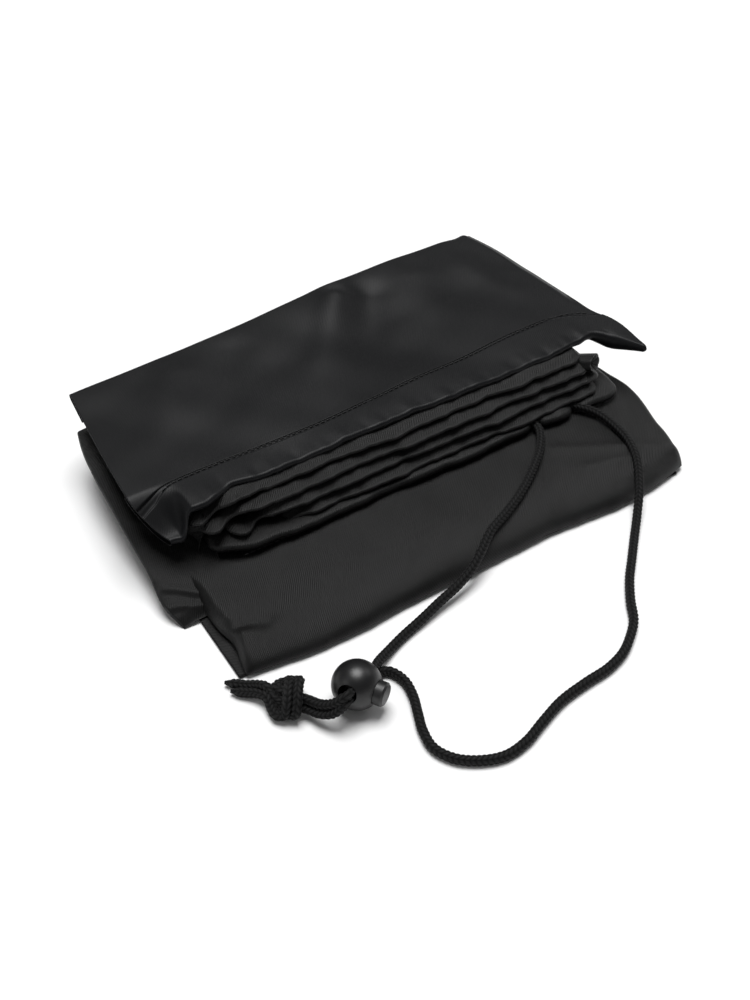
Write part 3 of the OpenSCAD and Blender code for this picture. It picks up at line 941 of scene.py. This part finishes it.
class BAG_OT_left_layer(bpy.types.Operator):
    """Add the layer that slopes down at the left, and the lowest layer on the floor"""
    bl_idname = "bag.left_layer"
    bl_label = "Under layers"

    def execute(self, context):
        y = spaced(62, -50, 120, 0.4)[:, None]
        t = np.linspace(0, 1, 60)[None]
        left = through(y, [(-50, -127), (-43, -130), (-23, -130), (10, -130), (56, -125.5), (62, -124)])
        x = left + (30 + 0 * y) * t ** 1.3
        edge = through(y, [(-50, 2.6), (-43, 5.5), (-23, 13), (10, 21), (56, 23.5), (62, 23.5)])
        z = edge + 1.1 * ease(t * 3) + 0.5 * wave(y + x, 3.7, (33.0, 15.0, 8.0))
        z = z + 0.9 * crease(x, y, (-128, -34), (-112, -44), 1.6)
        z = z + 0.8 * crease(x, y, (-129, -42), (-113, -48), 1.4)
        z = z - 1.4 * (1 - round_off(t, 1 / 16))
        z = z - 1.6 * ease((-46 - y) / 4)
        # Painted highlight along the left edge and along the front end
        painted_light = 0.8 * np.clip(1 - t * 20, 0, 1) + 0.7 * ease((-48 - y) / 2) + 0 * z
        grid = np.stack([x, y + 0 * t, np.maximum(z, 0.4)], 2)
        piece, flat, area = cloth_sheet("left_sheet", grid, cloth_twill, painted_light, ["left_under_layer"],
                                        flip=True)

        x = spaced(-120, 108, 150, 0.4)[:, None]
        s = np.linspace(0, 1, 90)[None]
        y = -85.5 + (76 + 85.5 + 0.04 * x) * s + 1.0 * wave(x, 8.8, (90.0, 37.0, 15.0)) * (1 - s)
        z = 0.9 + 0.35 * wave(x + y, 4.4, (41.0, 19.0, 9.0)) * ease((y + 84) / 6) + 0 * x
        grid = np.stack([x + 0 * s, y, np.maximum(z, 0.35)], 2)
        painted_light = np.zeros(z.shape)
        piece, flat, area = cloth_sheet("bottom_sheet", grid, cloth_twill, painted_light, ["bottom_layer"])
        return {"FINISHED"}


class BAG_OT_back_wrap(bpy.types.Operator):
    """Add the sheet that wraps round the back of the packet and shows along both sides"""
    bl_idname = "bag.back_wrap"
    bl_label = "Back wrap"

    def execute(self, context):
        t = spaced(0, 1, 190, 0.8)
        x = -111 + 216 * t
        d = np.minimum(x + 111, 105 - x)
        close = round_off(d, 9)
        edge = through(x, BACK_EDGE) - 3.5
        grid, painted_light = [], []
        for k in np.linspace(0, 1, 96):
            a = math.pi * k
            z = 24.3 + (10.2 + 0.5 * wave(x, 5.9, (47.0, 23.0, 11.0))) * math.cos(a)
            lobes = 1.3 * abs(math.sin(3.5 * a)) ** 0.7
            y = edge - 9 + (7.5 + lobes) * math.sin(a) ** 0.5 * (0.35 + 0.65 * close)
            folds = 0.7 * wave(x + 2 * z, 2.2, (61.0, 31.0, 13.0))
            folds = folds + 0.35 * wave(x - z, 8.2, (15.0, 9.0, 5.0))
            y = y + folds * math.sin(a)
            y = y - 40 * max(0.0, abs(k - 0.5) * 2 - 0.92) / 0.08
            grid.append(np.stack([x, y, np.maximum(z, 0.4)], 1))
            # Painted highlight on the crests of the lobes
            painted_light.append(0.5 * abs(math.sin(3.5 * a)) ** 6 + 0 * x)
        grid, painted_light = np.array(grid), np.array(painted_light)
        piece, flat, area = cloth_sheet("back_sheet", grid, cloth_twill, painted_light, ["back_wrap"])
        return {"FINISHED"}


def thread_seam(name, place, node):
    """A row of stitches of real thread along a line of points in millimetres"""
    pitch = bpy.context.scene.bag_cloth.stitch / MM
    run = run_along(place)
    verts, faces = [], []
    for start in np.arange(0.5, run[-1] - pitch, pitch):
        k = np.linspace(0, 1, 8)
        at = start + 0.74 * pitch * k
        line = np.stack([np.interp(at, run, place[:, i]) for i in range(3)], 1)
        line[:, 2] += 0.16 * np.sin(np.pi * k) - 0.10
        along = line[-1] - line[0]
        side = np.cross(along, [0, 0, 1.0])
        side /= np.linalg.norm(side)
        up = np.cross(side, along / np.linalg.norm(along))
        first = len(verts)
        for centre, share in zip(line, np.sin(np.pi * (0.08 + 0.84 * k)) ** 0.5):
            for a in np.linspace(0, 2 * np.pi, 8, endpoint=False):
                verts.append(centre + 0.24 * share * (math.cos(a) * side + math.sin(a) * up))
        for i in range(7):
            for j in range(8):
                a, b = first + i * 8 + j, first + i * 8 + (j + 1) % 8
                faces.append([a, b, b + 8, a + 8])
        faces.append([first + j for j in reversed(range(8))])
        faces.append([first + 56 + j for j in range(8)])
    piece = link_mesh(name, verts, faces, {}, seam_thread, PACKET)
    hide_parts(node)


class BAG_OT_stitches(bpy.types.Operator):
    """Add the rows of thread along both hems"""
    bl_idname = "bag.stitches"
    bl_label = "Stitching"

    def execute(self, context):
        x = np.linspace(-114, 119, 400)
        y = through(x, HEM_SEAM)
        x, y, z = hang(x, y + 0.1)
        thread_seam("upper_seam", np.stack([x, y, z + 0.5], 1), "top_hem_stitching")
        x = np.linspace(-92, 98, 300)
        thread_seam("lower_seam", np.stack([x, -37 + 0 * x, 12.95 + 0 * x], 1), "lower_hem_stitching")
        return {"FINISHED"}


class BAG_OT_fold_ends(bpy.types.Operator):
    """Add the pleated left ends of the folds, and the curled end at the right"""
    bl_idname = "bag.fold_ends"
    bl_label = "Fold ends"

    def execute(self, context):
        y = np.linspace(-25, 24, 120)[:, None]
        z = np.linspace(13.2, 31.0, 34)[None]
        drift = 1.5 * wave(y, 1.7, (41.0, 23.0, 13.0)) + 0.6 * wave(z, 0.9, (19.0, 11.0, 7.0))
        pleat = np.sin(2 * np.pi * (y + 31) / 11.5 + 0.12 * (z - 20) + drift)
        x = -105.2 - 2.1 * pleat * (0.75 + 0.25 * np.sin(y / 9 + 0.8))
        x = x + 0.18 * (z - 20) + 0.4 * wave(y + z, 2.6, (9.0, 5.0, 3.0))
        grid = np.stack([x, y + 0.6 * np.sin(z / 2.3), z + 0 * y], 2)
        # Painted highlight on the ridges of the pleats
        painted_light = 0.6 * np.clip(pleat, 0, 1) ** 3
        piece, flat, area = cloth_sheet("fold_ends_sheet", grid, cloth_twill, painted_light, ["left_fold_ends"])

        axis = np.array([0.50, -0.80, 0.33])
        axis /= np.linalg.norm(axis)
        side = np.cross(axis, [0, 0, 1.0])
        side /= np.linalg.norm(side)
        up = np.cross(side, axis)
        a = np.linspace(0, 2 * np.pi, 120)[None]
        k = np.linspace(0, 1, 50)[:, None]
        face = np.clip(k / 0.45, 0, 1)
        ray = np.abs(np.sin(3.5 * a + 0.4 + 1.2 * face))
        out = 0.35 + 4.3 * np.sin(0.5 * np.pi * face) * (1 + 0.10 * np.sin(2 * a + 1)) + 0.3 * ray * face
        depth = -2.6 * (1 - face) ** 1.5 + 2.2 * ray * face * (1 - face)
        depth = depth - 11 * np.clip((k - 0.45) / 0.55, 0, 1)
        centre = np.array([102.0, -27.5, 29.8])
        grid = (centre + axis * depth[..., None] + side * (out * np.cos(a))[..., None] * 1.1
                + up * (out * np.sin(a))[..., None] * 0.85)
        # Painted highlight on the ridges that radiate round the curl
        painted_light = 2.4 * ray * face * (1 - face)
        piece, flat, area = cloth_sheet("curled_end", grid, cloth_twill, painted_light, ["right_fold_end"])
        return {"FINISHED"}


# ---------------------------------------------------------------- stage

class BAG_OT_stage(bpy.types.Operator):
    """Add the pale floor, the soft lights and the surrounding light"""
    bl_idname = "bag.stage"
    bl_label = "Stage"

    def execute(self, context):
        bpy.ops.mesh.primitive_plane_add(size=40.0, location=(0, 0, 0))
        floor = context.active_object
        floor.name = "floor"
        floor.data.materials.append(material(floor_paint))
        world = bpy.data.worlds.new("studio")
        context.scene.world = world
        world.use_nodes = True
        tree = world.node_tree
        place = add_node(tree, "ShaderNodeTexCoord").outputs["Generated"]
        height = add_node(tree, "ShaderNodeSeparateXYZ", {}, {0: place}).outputs["Z"]
        white_to_grey = ((0.06, (1.0, 1.0, 1.0, 1.0)), (0.16, (0.13, 0.13, 0.13, 1.0)))
        ramp = add_node(tree, "ShaderNodeValToRGB", {"stops": white_to_grey}, {"Fac": height})
        feed(tree, tree.nodes["Background"].inputs["Color"], ramp.outputs["Color"])
        for name, lean, angle, power in (
                ("overhead_light", (0.14, 0.23, 1.0), 36.0, 3.15),
                ("right_light", (1.1, 0.1, 0.9), 30.0, 0.24),
                ("left_light", (-1.3, 0.3, 0.9), 30.0, 0.24)):
            light = bpy.data.lights.new(name, "SUN")
            light.angle = math.radians(angle)
            light.energy = power
            holder = bpy.data.objects.new(name, light)
            context.scene.collection.objects.link(holder)
            holder.location = [k * 1.5 for k in lean]
            holder.rotation_mode = "QUATERNION"
            holder.rotation_quaternion = (-Vector(lean)).to_track_quat("-Z", "Y")
        context.scene.view_settings.view_transform = "Standard"
        return {"FINISHED"}


class BAG_PT_panel(bpy.types.Panel):
    """Operators and sizes of the folded bag"""
    bl_idname = "BAG_PT_panel"
    bl_label = "Folded Bag"
    bl_space_type = "VIEW_3D"
    bl_region_type = "UI"
    bl_category = "Bag"

    def draw(self, context):
        for step in STEPS:
            self.layout.operator(step.bl_idname)
        for group in (context.scene.bag_cloth, context.scene.bag_cord, context.scene.bag_stage):
            box = self.layout.box()
            for key in group.__annotations__:
                box.prop(group, key)


GROUPS = {"bag_cloth": BagCloth, "bag_cord": BagCord, "bag_stage": BagStage}
STEPS = (BAG_OT_camera, BAG_OT_lock, BAG_OT_strands, BAG_OT_knot, BAG_OT_top, BAG_OT_folds, BAG_OT_lower_hem,
         BAG_OT_front_panel, BAG_OT_left_layer, BAG_OT_back_wrap, BAG_OT_stitches, BAG_OT_fold_ends,
         BAG_OT_stage)


def register():
    for cls in (*GROUPS.values(), *STEPS, BAG_PT_panel):
        bpy.utils.register_class(cls)
    for name, cls in GROUPS.items():
        setattr(bpy.types.Scene, name, PointerProperty(type=cls))


def unregister():
    for name in GROUPS:
        delattr(bpy.types.Scene, name)
    for cls in (BAG_PT_panel, *reversed(STEPS), *reversed(GROUPS.values())):
        bpy.utils.unregister_class(cls)


def main():
    register()
    for step in STEPS:
        group, name = step.bl_idname.split(".")
        getattr(getattr(bpy.ops, group), name)()


if __name__ == "__main__":
    main()
